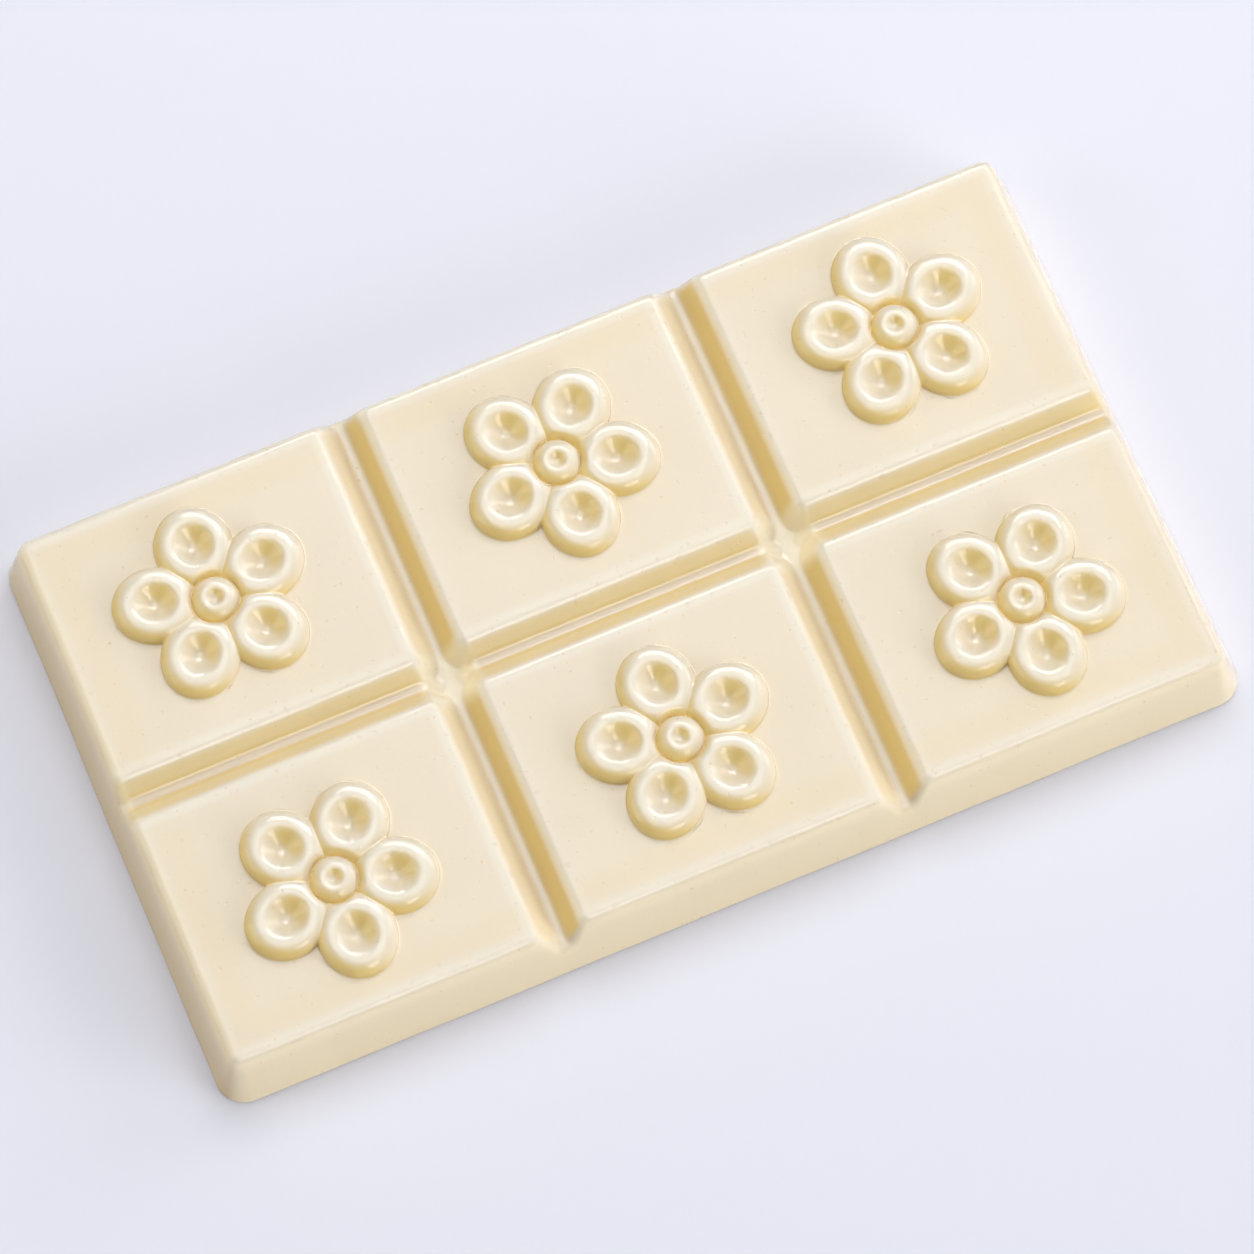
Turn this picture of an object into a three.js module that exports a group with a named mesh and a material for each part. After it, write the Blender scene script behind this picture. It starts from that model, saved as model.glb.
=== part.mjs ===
// A moulded white chocolate bar of six blocks, three by two, each with a raised blossom.
// Millimetres, +Z up. The origin is the middle of the underside, +X runs along the bar.
import * as THREE from 'three';
import { mergeGeometries, mergeVertices } from 'three/addons/utils/BufferGeometryUtils.js';

// Body
const TOP_LENGTH = 100; // between the outer top edges, along X
const TOP_DEPTH = 55.2; // between the outer top edges, along Y
const BODY_HEIGHT = 7.7; // underside to the flat top of a block
const WALL_RUN = 1.92; // how far the drafted outer wall stands out at the base
const BASE_CORNER_RADIUS = 2.9; // in plan, at the underside
const OUTER_EDGE_RADIUS = 1.0; // rounding of the outer top edges and the groove ends

// Grooves
const BLOCKS_LONG = 3;
const BLOCKS_WIDE = 2;
const GROOVE_PITCH = 34.5; // between the two grooves that run along Y
const GROOVE_HALF_WIDTH = 2.24; // from a groove's middle to the top edge of a block
const GROOVE_WALL_RUN = 1.86; // how far a groove's side leans out from foot to top
const GROOVE_EDGE_BLEND = 0.4; // half width of the rounding at the top and the foot
const CROSSWISE_GROOVE_DEPTH = 3.2; // the grooves that run along Y
const LENGTHWISE_GROOVE_DEPTH = 1.8; // the groove that runs along X
const BLOCK_CORNER_RADIUS = 0.45; // in plan, where four blocks meet
const GROOVE_END_FLARE = 1.2; // in plan, where a groove runs out through the wall
const FLARE_SETBACK = 0.45; // the flare is measured from this far past the top edge

// Blossom
const PETALS = 5;
const BLOSSOM_RIM = 0.3; // height of the upright rim round the blossom
const BLOSSOM_FOOT = 0.2; // width of the fillet round that rim
const CREASE_HEIGHT = 0.5; // of the crease between the heart and the petals
const PETAL_TUCK = 0.7; // how far from the heart the petals start to round down to it
const petal = {
  reach: 5.7, // from the blossom's middle to the petal's
  long: 4.1, // half axis away from the heart
  wide: 3.75, // half axis across
  height: 1.5, // of the crest over the block
  crest: 0.6, // where the crest runs, as a share of the way to the rim
  cup: 1.0, // share of its height over the rim that the petal loses in its middle
};
const heart = { radius: 2.3, height: 1.75, dimple: 1.15, dimpleDepth: 0.8 };

// Mesh
const STRAIGHT_STEPS = 1; // along half a side of a block, short of its corner
const CORNER_STEPS = 4; // from there to the corner's diagonal
const CORNER_ZONE = 3.2; // length of each side that belongs to the corner
const HEART_STEPS = 3;
const PETAL_STEPS = 8;
const UNDERSIDE_STEPS = 1;
const QUARTER = 2 * (STRAIGHT_STEPS + CORNER_STEPS);
const AROUND = 4 * QUARTER;
const WELD = 1e-4;

const halfTop = { x: TOP_LENGTH / 2, y: TOP_DEPTH / 2 };
const halfBase = { x: halfTop.x + WALL_RUN, y: halfTop.y + WALL_RUN };
const wallSlope = BODY_HEIGHT / WALL_RUN;

// Rings round a block, from its flat top out to the groove's middle line and to the base.
const edgeRings = [
  { groove: -0.5, wall: -0.78 },
  { groove: -0.1, wall: -0.35 },
  { groove: 0.35, wall: 0.0 },
  { groove: 1.0, wall: 0.35 },
  { groove: 1.6, wall: 0.9 },
  { groove: 2.0, wall: 1.4 },
  { groove: GROOVE_HALF_WIDTH, wall: WALL_RUN },
];

// Smooth corner of a ramp: 0 below -blend, x above it, a parabola between.
function softRamp(x, blend) {
  if (x <= -blend) return 0;
  if (x >= blend) return x;
  return (x + blend) ** 2 / (4 * blend);
}

// Section of a groove's side, 0 on the block's top and 1 on the groove's floor.
function grooveSection(outward) {
  const start = softRamp(outward, GROOVE_EDGE_BLEND);
  const end = softRamp(outward - GROOVE_WALL_RUN, GROOVE_EDGE_BLEND);
  return (start - end) / GROOVE_WALL_RUN;
}

// Signed distance outwards from a corner whose sides are offX and offY away.
function roundedCornerDistance(offX, offY, radius) {
  const alongX = offX + radius;
  const alongY = offY + radius;
  const outside = Math.hypot(Math.max(alongX, 0), Math.max(alongY, 0));
  return outside + Math.min(Math.max(alongX, alongY), 0) - radius;
}

// How far the surface lies below the top of its block, before the outer wall cuts it.
function grooveDrop(block, x, y) {
  const sideX = x < block.x ? block.left : block.right;
  const sideY = y < block.y ? block.front : block.back;
  if (!sideX.depth && !sideY.depth) return 0;
  const crossing = sideX.depth > 0 && sideY.depth > 0;
  const radius = crossing ? BLOCK_CORNER_RADIUS : GROOVE_END_FLARE;
  const offX = Math.abs(x - block.x) - block.halfX - (sideX.depth ? 0 : FLARE_SETBACK);
  const offY = Math.abs(y - block.y) - block.halfY - (sideY.depth ? 0 : FLARE_SETBACK);
  const section = grooveSection(roundedCornerDistance(offX, offY, radius));
  if (!crossing) return section * (sideX.depth || sideY.depth);
  const turn = Math.atan2(Math.max(offY + radius, 0), Math.max(offX + radius, 0));
  const shallow = THREE.MathUtils.smoothstep(turn, Math.PI / 4, Math.PI / 2);
  return section * THREE.MathUtils.lerp(sideX.depth, sideY.depth, shallow);
}

// Height of the drafted outer wall, rounded into a plateau of the given height.
function walledHeight(inset, plateau) {
  const run = 1 / wallSlope;
  const slant = Math.hypot(1, run);
  const arcMiddle = run * (plateau - OUTER_EDGE_RADIUS) + OUTER_EDGE_RADIUS * slant;
  if (inset >= arcMiddle) return plateau;
  if (inset <= arcMiddle - OUTER_EDGE_RADIUS / slant) return inset * wallSlope;
  const rise = Math.sqrt(OUTER_EDGE_RADIUS ** 2 - (inset - arcMiddle) ** 2);
  return plateau - OUTER_EDGE_RADIUS + rise;
}

// Height of the bar without its blossoms.
function bodyHeight(block, x, y) {
  const offX = Math.abs(x) - halfBase.x;
  const offY = Math.abs(y) - halfBase.y;
  const inset = -roundedCornerDistance(offX, offY, BASE_CORNER_RADIUS);
  return walledHeight(inset, BODY_HEIGHT - grooveDrop(block, x, y));
}

// Angle from the nearest petal's middle line.
function petalAngle(angle) {
  const period = (2 * Math.PI) / PETALS;
  return angle - period * Math.round(angle / period);
}

// Distance from the blossom's middle to its outline: the far side of an oval petal.
function petalOutline(angle) {
  const off = petalAngle(angle);
  const along = Math.cos(off) / petal.long;
  const across = Math.sin(off) / petal.wide;
  const middle = petal.reach / petal.long;
  const spread = along ** 2 + across ** 2;
  const root = Math.sqrt((middle * along) ** 2 - spread * (middle ** 2 - 1));
  return (middle * along + root) / spread;
}

// Fall of a quarter circle, 1 at the start and 0 at a share of 1.
function quarterCircle(share) {
  return Math.sqrt(1 - THREE.MathUtils.clamp(share, 0, 1) ** 2);
}

// A petal is a plump rim round a cup: a quarter circle outside its crest and a bell inside
// it. Near the heart it rounds down to the crease.
function petalHeight(distance, angle) {
  const off = petalAngle(angle);
  const along = (distance * Math.cos(off) - petal.reach) / petal.long;
  const share = Math.hypot(along, (distance * Math.sin(off)) / petal.wide);
  const within = Math.max(1 - (share / petal.crest) ** 2, 0);
  const outside = quarterCircle((share - petal.crest) / (1 - petal.crest));
  const crown = outside - petal.cup * within ** 2;
  const height = THREE.MathUtils.lerp(BLOSSOM_RIM, petal.height, crown);
  const tucked = quarterCircle(1 - (distance - heart.radius) / PETAL_TUCK);
  return THREE.MathUtils.lerp(CREASE_HEIGHT, height, tucked);
}

// The heart is a round dome with a dimple.
function heartHeight(distance) {
  const dome = quarterCircle(distance / heart.radius);
  const within = Math.max(1 - (distance / heart.dimple) ** 2, 0);
  const height = THREE.MathUtils.lerp(CREASE_HEIGHT, heart.height, dome);
  return height - heart.dimpleDepth * within ** 2;
}

// Rings of the blossom, each a distance and a height for every angle.
function blossomRings() {
  const rings = [];
  for (let step = 0; step <= HEART_STEPS; step += 1) {
    const distance = heart.radius * Math.sin(((step / HEART_STEPS) * Math.PI) / 2);
    rings.push(() => [distance, heartHeight(distance)]);
  }
  for (let step = 1; step <= PETAL_STEPS; step += 1) {
    const share = (1 - Math.cos((step / PETAL_STEPS) * Math.PI)) / 2;
    rings.push((angle) => {
      const distance = THREE.MathUtils.lerp(heart.radius, petalOutline(angle), share);
      return [distance, petalHeight(distance, angle)];
    });
  }
  rings.push((angle) => [petalOutline(angle) + BLOSSOM_FOOT, 0]);
  return rings;
}

// Way from a side to the diagonal of a rounded corner, as distances in from both sides.
function cornerWay(share, radius) {
  const straight = CORNER_ZONE - radius;
  const travelled = share * (straight + (Math.PI / 4) * radius);
  if (travelled <= straight) return [0, CORNER_ZONE - travelled];
  const angle = (travelled - straight) / radius;
  return [radius * (1 - Math.cos(angle)), radius * (1 - Math.sin(angle))];
}

// Point of a quarter ring, by steps from the middle of the side across X to that across Y.
function quarterRingPoint(step, halfX, halfY, radius) {
  const fromX = step <= QUARTER / 2;
  const steps = fromX ? step : QUARTER - step;
  const half = fromX ? halfY : halfX;
  let inward = 0;
  let short = half - ((half - CORNER_ZONE) * steps) / STRAIGHT_STEPS;
  if (steps > STRAIGHT_STEPS) {
    [inward, short] = cornerWay((steps - STRAIGHT_STEPS) / CORNER_STEPS, radius);
  }
  return fromX ? [halfX - inward, halfY - short] : [halfX - short, halfY - inward];
}

// Corner radius of a ring, round at the bar's corners and where grooves cross.
function ringCornerRadius(sideX, sideY, ring) {
  const grooves = (sideX.depth ? 1 : 0) + (sideY.depth ? 1 : 0);
  if (grooves === 0) return BASE_CORNER_RADIUS - WALL_RUN + ring.wall;
  if (grooves === 1 || ring === edgeRings.at(-1)) return 0;
  return Math.max(BLOCK_CORNER_RADIUS + ring.groove, 0);
}

// Place of a ring's point in plan.
function ringPoint(block, ring, column) {
  const quarter = Math.floor(column / QUARTER) % 4;
  const step = column % QUARTER;
  const signX = quarter === 0 || quarter === 3 ? 1 : -1;
  const signY = quarter < 2 ? 1 : -1;
  const sideX = signX > 0 ? block.right : block.left;
  const sideY = signY > 0 ? block.back : block.front;
  const radius = ringCornerRadius(sideX, sideY, ring);
  const halfX = block.halfX + (sideX.depth ? ring.groove : ring.wall);
  const halfY = block.halfY + (sideY.depth ? ring.groove : ring.wall);
  const reversed = quarter % 2 === 1;
  const [x, y] = quarterRingPoint(reversed ? QUARTER - step : step, halfX, halfY, radius);
  return [block.x + signX * x, block.y + signY * y];
}

// Triangles of a grid of points, each of its cells cut along the shorter diagonal.
function shortCutTriangles(points, columns, rows) {
  const triangles = [];
  const width = columns + 1;
  const gap = (first, second) => {
    const start = new THREE.Vector3().fromBufferAttribute(points, first);
    return start.distanceTo(new THREE.Vector3().fromBufferAttribute(points, second));
  };
  for (let row = 0; row < rows; row += 1) {
    for (let column = 0; column < columns; column += 1) {
      const inner = row * width + column;
      const outer = inner + width;
      if (gap(outer, inner + 1) < gap(inner, outer + 1)) {
        triangles.push(inner, outer, inner + 1, outer, outer + 1, inner + 1);
      } else {
        triangles.push(inner, outer, outer + 1, inner, outer + 1, inner + 1);
      }
    }
  }
  return triangles;
}

// Closed strip of rings as a plane whose columns run round and whose rows run outwards.
function ringSurface(ringCount, place) {
  const surface = new THREE.PlaneGeometry(1, 1, AROUND, ringCount - 1);
  const points = surface.getAttribute('position');
  for (let row = 0; row < ringCount; row += 1) {
    for (let column = 0; column <= AROUND; column += 1) {
      points.setXYZ(row * (AROUND + 1) + column, ...place(row, column % AROUND));
    }
  }
  surface.setIndex(shortCutTriangles(points, AROUND, ringCount - 1));
  surface.deleteAttribute('normal');
  surface.deleteAttribute('uv');
  return surface;
}

// Top of one block, out to the middle of its grooves and down its outer walls.
function blockTop(block) {
  const blossom = blossomRings();
  return ringSurface(blossom.length + edgeRings.length, (row, column) => {
    if (row < blossom.length) {
      const angle = (column / AROUND) * 2 * Math.PI;
      const [distance, height] = blossom[row](angle + block.blossomTurn);
      const x = block.x + distance * Math.cos(angle);
      const y = block.y + distance * Math.sin(angle);
      return [x, y, BODY_HEIGHT + height];
    }
    const [x, y] = ringPoint(block, edgeRings[row - blossom.length], column);
    return [x, y, bodyHeight(block, x, y)];
  });
}

// Flat underside of one block.
function blockUnderside(block) {
  const rim = edgeRings.at(-1);
  return ringSurface(UNDERSIDE_STEPS + 1, (row, column) => {
    const [x, y] = ringPoint(block, rim, column);
    const share = row / UNDERSIDE_STEPS;
    return [THREE.MathUtils.lerp(x, block.x, share), THREE.MathUtils.lerp(y, block.y, share), 0];
  });
}

// Blocks from the left to the right and from the front to the back.
function layOutBlocks() {
  const crosswise = { depth: CROSSWISE_GROOVE_DEPTH };
  const lengthwise = { depth: LENGTHWISE_GROOVE_DEPTH };
  const outside = { depth: 0 };
  const blocks = [];
  for (let column = 0; column < BLOCKS_LONG; column += 1) {
    const first = column === 0;
    const last = column === BLOCKS_LONG - 1;
    const grooveX = (column - (BLOCKS_LONG - 1) / 2) * GROOVE_PITCH;
    const startX = first ? -halfTop.x : grooveX - GROOVE_PITCH / 2 + GROOVE_HALF_WIDTH;
    const endX = last ? halfTop.x : grooveX + GROOVE_PITCH / 2 - GROOVE_HALF_WIDTH;
    for (let row = 0; row < BLOCKS_WIDE; row += 1) {
      const front = row === 0;
      const startY = front ? -halfTop.y : GROOVE_HALF_WIDTH;
      const endY = front ? -GROOVE_HALF_WIDTH : halfTop.y;
      const turned = (column + row) % 2 === 1;
      blocks.push({
        x: (startX + endX) / 2,
        y: (startY + endY) / 2,
        halfX: (endX - startX) / 2,
        halfY: (endY - startY) / 2,
        left: first ? outside : crosswise,
        right: last ? outside : crosswise,
        front: front ? outside : lengthwise,
        back: front ? lengthwise : outside,
        blossomTurn: Math.PI / 2 + (turned ? Math.PI / PETALS : 0),
      });
    }
  }
  return blocks;
}

// Joins the strips into one closed surface, without the triangles that shrank to a line.
function weld(surfaces) {
  const welded = mergeVertices(mergeGeometries(surfaces), WELD);
  const corners = welded.getIndex().array;
  const kept = [];
  for (let start = 0; start < corners.length; start += 3) {
    const [a, b, c] = corners.subarray(start, start + 3);
    if (a !== b && b !== c && c !== a) kept.push(a, b, c);
  }
  welded.setIndex(kept);
  welded.computeVertexNormals();
  return welded;
}

function chocolateBar() {
  const surfaces = [];
  for (const block of layOutBlocks()) {
    surfaces.push(blockTop(block), blockUnderside(block));
  }
  const whiteChocolate = new THREE.MeshStandardMaterial({
    color: 0xf3e6cf,
    roughness: 0.35,
    metalness: 0,
  });
  const bar = new THREE.Mesh(weld(surfaces), whiteChocolate);
  bar.name = 'chocolate_bar';
  return bar;
}

const model = new THREE.Group();
model.add(chocolateBar());

export default model;
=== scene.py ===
import math
from types import SimpleNamespace

import bpy
import numpy as np
from mathutils import Matrix, Vector


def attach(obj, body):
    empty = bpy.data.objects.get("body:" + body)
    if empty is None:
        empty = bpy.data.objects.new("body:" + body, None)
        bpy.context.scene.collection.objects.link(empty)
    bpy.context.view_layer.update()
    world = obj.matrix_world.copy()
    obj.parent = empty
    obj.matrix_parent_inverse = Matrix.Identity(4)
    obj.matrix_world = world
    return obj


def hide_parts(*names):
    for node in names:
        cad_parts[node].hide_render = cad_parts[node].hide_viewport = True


# A moulded white chocolate bar of six blocks, with a raised blossom on each.
# Sizes are in millimetres, and the finished mesh is brought to metres.
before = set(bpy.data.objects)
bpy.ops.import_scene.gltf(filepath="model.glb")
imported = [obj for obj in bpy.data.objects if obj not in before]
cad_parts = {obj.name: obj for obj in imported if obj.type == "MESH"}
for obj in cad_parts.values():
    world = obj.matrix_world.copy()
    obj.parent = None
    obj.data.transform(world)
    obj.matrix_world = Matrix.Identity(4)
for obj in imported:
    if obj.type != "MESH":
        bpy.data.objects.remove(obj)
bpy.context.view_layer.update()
scene = bpy.context.scene
mm = 0.001
print("frame loaded:", ", ".join(sorted(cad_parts)))

body = {
    "topLength": 100.0,      # between the outer top edges, along X
    "topDepth": 55.2,        # between the outer top edges, along Y
    "height": 7.7,           # underside to the flat top of a block
    "wallRun": 1.92,         # how far the drafted wall stands out at the base
    "cornerRadius": 2.9,     # in plan, at the base
    "topEdge": 1.0,          # rounding of the outer top edges and the groove ends
    "baseEdge": 0.3,         # rounding round the underside
}
groove = {
    "pitch": 34.5,           # between the two that run across the bar
    "halfWidth": 2.24,       # from the middle line to the top edge of a block
    "sideRun": 1.86,         # how far a side leans out from its foot to its top
    "topBlend": 0.45,        # half width of the rounding along the top
    "footBlend": 0.3,        # half width of the rounding along the foot
    "acrossDepth": 3.2,      # the two that run along Y
    "lengthwiseDepth": 1.8,  # the one that runs along X
    "crossingCorner": 0.45,  # in plan, where four blocks meet
    "endFlare": 1.2,         # in plan, where a groove runs out through the wall
    "flareSetback": 0.45,    # the flare is measured from this far past the top edge
}
blossom = {
    "petals": 5,
    "rim": 0.3,              # height of the upright rim round each form
    "reach": 5.7,            # from the middle to the middle of a petal
    "long": 4.1,             # half axis of a petal in plan, away from the heart
    "wide": 3.75,            # half axis of a petal in plan, the other way
    "height": 1.5,           # of a petal's crest over the block
    "crest": 0.6,            # where the crest runs, as a share of the way to the rim
    "cup": 1.0,              # how much of its height over the rim a petal loses in its middle
    "heart": 2.3,
    "heartHeight": 1.75,
    "heartFoot": 0.5,        # height of the crease between the heart and the petals
    "tuck": 0.7,             # how far from the heart the petals start to round down to it
    "dimple": 1.15,
    "dimpleDepth": 0.8,
    "heartSteps": 10,
    "petalSteps": 26,
    "crowding": 0.45,        # how much closer the columns stand along the creases
    # fillet round the rim: how far out of it each ring lies, and how high
    "fillet": ((0.005, 0.17), (0.03, 0.085), (0.085, 0.03), (0.17, 0.0), (0.32, 0.0)),
}
mesh = {
    "straightSteps": 8,      # along half a side, short of its corner
    "cornerSteps": 12,       # from there to the corner's diagonal
    "cornerZone": 3.2,       # length of each side that belongs to the corner
    "edgeTurns": 8,          # over the rounding of the outer top edge
    "flatShares": (0.2, 0.45, 0.72),    # between the blossom and the edges
    "outerFlat": (-1.6, -1.1, -0.9),    # rings just inside an outer top edge
    "grooveFlat": (-1.3, -0.9, -0.7),   # rings just inside a groove's top edge
    "grooveStart": -0.6,     # the even rings down a groove start here
    "wall": (0.3, 0.42, 0.54, 0.66, 0.78, 0.9, 1.02, 1.16, 1.3, 1.45, 1.6, 1.72, 1.8),
    "baseTurns": (0, 18, 36, 54, 72, 90),  # degrees round the edge of the underside
    "baseFlat": 0.3,         # width of the first flat ring inside that edge
    "underShares": (0.35, 0.7, 1.0),    # from there to the middle
    "weld": 1e-4,
}
halfSteps = mesh["straightSteps"] + mesh["cornerSteps"]
quarterSteps = 2 * halfSteps
around = 4 * quarterSteps
wallSlope = body["height"] / body["wallRun"]
halfTop = (body["topLength"] / 2, body["topDepth"] / 2)
halfBase = (halfTop[0] + body["wallRun"], halfTop[1] + body["wallRun"])


# Corner of a ramp made soft: 0 before -blend, x after +blend, a parabola between.
def softRamp(x, blend):
    return np.clip(x + blend, 0, 2 * blend) ** 2 / (4 * blend) + np.maximum(x - blend, 0)


# Section of a groove's side: 0 on the block's top, 1 on the floor, by distance outwards.
def grooveSection(outward):
    start = softRamp(outward, groove["topBlend"])
    end = softRamp(outward - groove["sideRun"], groove["footBlend"])
    return (start - end) / groove["sideRun"]


# Signed distance outwards from a rounded corner whose sides are offX and offY away.
def cornerDistance(offX, offY, radius):
    alongX, alongY = offX + radius, offY + radius
    outside = np.hypot(np.maximum(alongX, 0), np.maximum(alongY, 0))
    return outside + np.minimum(np.maximum(alongX, alongY), 0) - radius


# Distance inwards from the outline of the base.
def insetFromBase(x, y):
    offX, offY = np.abs(x) - halfBase[0], np.abs(y) - halfBase[1]
    return -cornerDistance(offX, offY, body["cornerRadius"])


# Soft step: 0 up to low, 1 from high on, and a cubic between.
def smooth(low, high, x):
    t = np.clip((x - low) / (high - low), 0, 1)
    return t * t * (3 - 2 * t)


# How far the surface lies below the top of its block, before the outer wall cuts it.
# Where two grooves meet, the depth turns from one to the other with the angle.
def grooveDrop(block, depthX, depthY, x, y):
    if not depthX and not depthY:
        return np.zeros_like(x)
    crossing = depthX > 0 and depthY > 0
    radius = groove["crossingCorner"] if crossing else groove["endFlare"]
    offX = np.abs(x - block["x"]) - block["halfX"] - (0 if depthX else groove["flareSetback"])
    offY = np.abs(y - block["y"]) - block["halfY"] - (0 if depthY else groove["flareSetback"])
    section = grooveSection(cornerDistance(offX, offY, radius))
    if not crossing:
        return section * (depthX or depthY)
    turn = np.arctan2(np.maximum(offY + radius, 0), np.maximum(offX + radius, 0))
    return section * (depthX + (depthY - depthX) * smooth(math.pi / 4, math.pi / 2, turn))


# The small round edge of the underside: its circle's centre, in from the base outline.
baseArc = body["baseEdge"] * (1 + math.hypot(1, wallSlope)) / wallSlope


# Drafted wall, rounded into a plateau at the top and under at the base.
def wallHeight(inset, plateau):
    radius, small = body["topEdge"], body["baseEdge"]
    slant = math.hypot(1, 1 / wallSlope)
    middle = (plateau - radius) / wallSlope + radius * slant
    arc = plateau - radius + np.sqrt(np.maximum(radius ** 2 - (inset - middle) ** 2, 0))
    under = small + np.sqrt(np.maximum(small ** 2 - (baseArc - inset) ** 2, 0))
    z = np.where(inset <= middle - radius / slant, inset * wallSlope, arc)
    z = np.where(inset >= middle, plateau, z)
    return np.where(inset < baseArc - small / slant, under, z)


# Underside: flat, and rising along the small round edge to meet the wall.
def undersideHeight(inset):
    small = body["baseEdge"]
    return small - np.sqrt(np.maximum(small ** 2 - np.maximum(baseArc - inset, 0) ** 2, 0))


# Angle from the middle line of the nearest petal.
def petalAngle(angle):
    period = 2 * math.pi / blossom["petals"]
    return angle - period * np.round(angle / period)


# Distance to the outline of the ring of oval petals: the far side of the oval on a ray.
def petalOutline(angle):
    off = petalAngle(angle)
    along, across = np.cos(off) / blossom["long"], np.sin(off) / blossom["wide"]
    middle = blossom["reach"] / blossom["long"]
    spread = along ** 2 + across ** 2
    root = np.sqrt(np.maximum((middle * along) ** 2 - spread * (middle ** 2 - 1), 0))
    return (middle * along + root) / spread


# A petal is a plump rim round a cup. Its section is a quarter circle outside the crest
# and a bell inside it, by the share of the way from its middle to its rim. Near the
# heart it rounds down to the crease.
def petalHeight(distance, angle):
    off = petalAngle(angle)
    share = np.hypot(
        (distance * np.cos(off) - blossom["reach"]) / blossom["long"],
        distance * np.sin(off) / blossom["wide"],
    )
    beyond = np.clip((share - blossom["crest"]) / (1 - blossom["crest"]), 0, 1)
    within = np.clip(1 - (share / blossom["crest"]) ** 2, 0, 1)
    section = np.sqrt(1 - beyond ** 2) - blossom["cup"] * within ** 2
    height = blossom["rim"] + (blossom["height"] - blossom["rim"]) * section
    short = np.clip(1 - (distance - blossom["heart"]) / blossom["tuck"], 0, 1)
    return blossom["heartFoot"] + (height - blossom["heartFoot"]) * np.sqrt(1 - short ** 2)


# The heart is a round dome with a dimple, the same all the way round.
def heartHeight(distance):
    foot = blossom["heartFoot"]
    rise = np.sqrt(np.maximum(1 - (distance / blossom["heart"]) ** 2, 0))
    within = np.clip(1 - (distance / blossom["dimple"]) ** 2, 0, 1)
    return foot + (blossom["heartHeight"] - foot) * rise - blossom["dimpleDepth"] * within ** 2


# Rings of a blossom as two grids, distance from its middle and height over the block.
def blossomRings(angle):
    edge = petalOutline(angle)
    grids = []
    share = np.linspace(0, 1, blossom["heartSteps"] + 1)[:, None]
    toHeart = blossom["heart"] * np.sin(share * math.pi / 2) + 0 * angle
    grids.append((toHeart, heartHeight(toHeart)))
    share = np.linspace(0, 1, blossom["petalSteps"] + 1)[1:, None]
    toEdge = blossom["heart"] + (edge - blossom["heart"]) * (1 - np.cos(share * math.pi)) / 2
    grids.append((toEdge, petalHeight(toEdge, angle)))
    for out, height in blossom["fillet"]:
        grids.append(((edge + out)[None, :], np.full((1, angle.size), height)))
    return np.vstack([g[0] for g in grids]), np.vstack([g[1] for g in grids])


# Offsets of the rings from a block's top edges, out to the groove's middle or the base.
topArcStart = -body["topEdge"] * math.hypot(1, 1 / wallSlope) + body["topEdge"] / wallSlope
rimOffset = body["wallRun"] - (baseArc - body["baseEdge"])
arcTurn = np.linspace(0, math.atan(wallSlope), mesh["edgeTurns"])
wallOffsets = np.concatenate([
    mesh["outerFlat"],
    topArcStart + body["topEdge"] * np.sin(arcTurn),
    mesh["wall"],
    [rimOffset],
])
evenRings = len(wallOffsets) - len(mesh["grooveFlat"])
grooveOffsets = np.concatenate([
    mesh["grooveFlat"],
    np.linspace(mesh["grooveStart"], groove["halfWidth"], evenRings),
])
baseTurn = np.radians(mesh["baseTurns"])
underOffsets = body["wallRun"] - (baseArc - body["baseEdge"] * np.cos(baseTurn))
underOffsets = np.append(underOffsets, underOffsets[-1] - mesh["baseFlat"])


# From the middle of a side to the corner's diagonal: how far in and how far along.
# The first steps are even, and the rest follow the edge and then the corner's arc.
def wayToCorner(half, radius):
    zone, steps = mesh["cornerZone"], mesh["cornerSteps"]
    straight = (half - zone)[:, None] * np.arange(mesh["straightSteps"]) / mesh["straightSteps"]
    edge = (zone - radius)[:, None]
    travelled = np.linspace(0, 1, steps + 1) * (edge + math.pi / 4 * radius[:, None])
    turned = np.maximum(travelled - edge, 0) / np.maximum(radius, 1e-9)[:, None]
    onArc = travelled > edge
    inward = np.where(onArc, radius[:, None] * (1 - np.cos(turned)), 0)
    short = np.where(onArc, radius[:, None] * (1 - np.sin(turned)), zone - travelled)
    return np.hstack([0 * straight, inward]), np.hstack([straight, half[:, None] - short])


# Quarter rings from the middle of the side across X to the middle of that across Y.
def quarterRings(halfX, halfY, radius):
    inY, alongY = wayToCorner(halfY, radius)
    inX, alongX = wayToCorner(halfX, radius)
    x = np.hstack([halfX[:, None] - inY, alongX[:, -2::-1]])
    y = np.hstack([alongY, halfY[:, None] - inX[:, -2::-1]])
    return x, y


# Corner radius of each ring: round at the bar's corners and where grooves cross. The
# ring on the middle lines of two grooves has none, so that four blocks meet in a point.
def ringRadius(depthX, depthY, grooveOut, wallOut):
    if not depthX and not depthY:
        return np.maximum(body["cornerRadius"] - body["wallRun"] + wallOut, 0)
    if not depthX or not depthY:
        return np.zeros_like(grooveOut)
    onMiddle = grooveOut >= groove["halfWidth"] - 1e-9
    return np.where(onMiddle, 0, np.maximum(groove["crossingCorner"] + grooveOut, 0))


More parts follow.
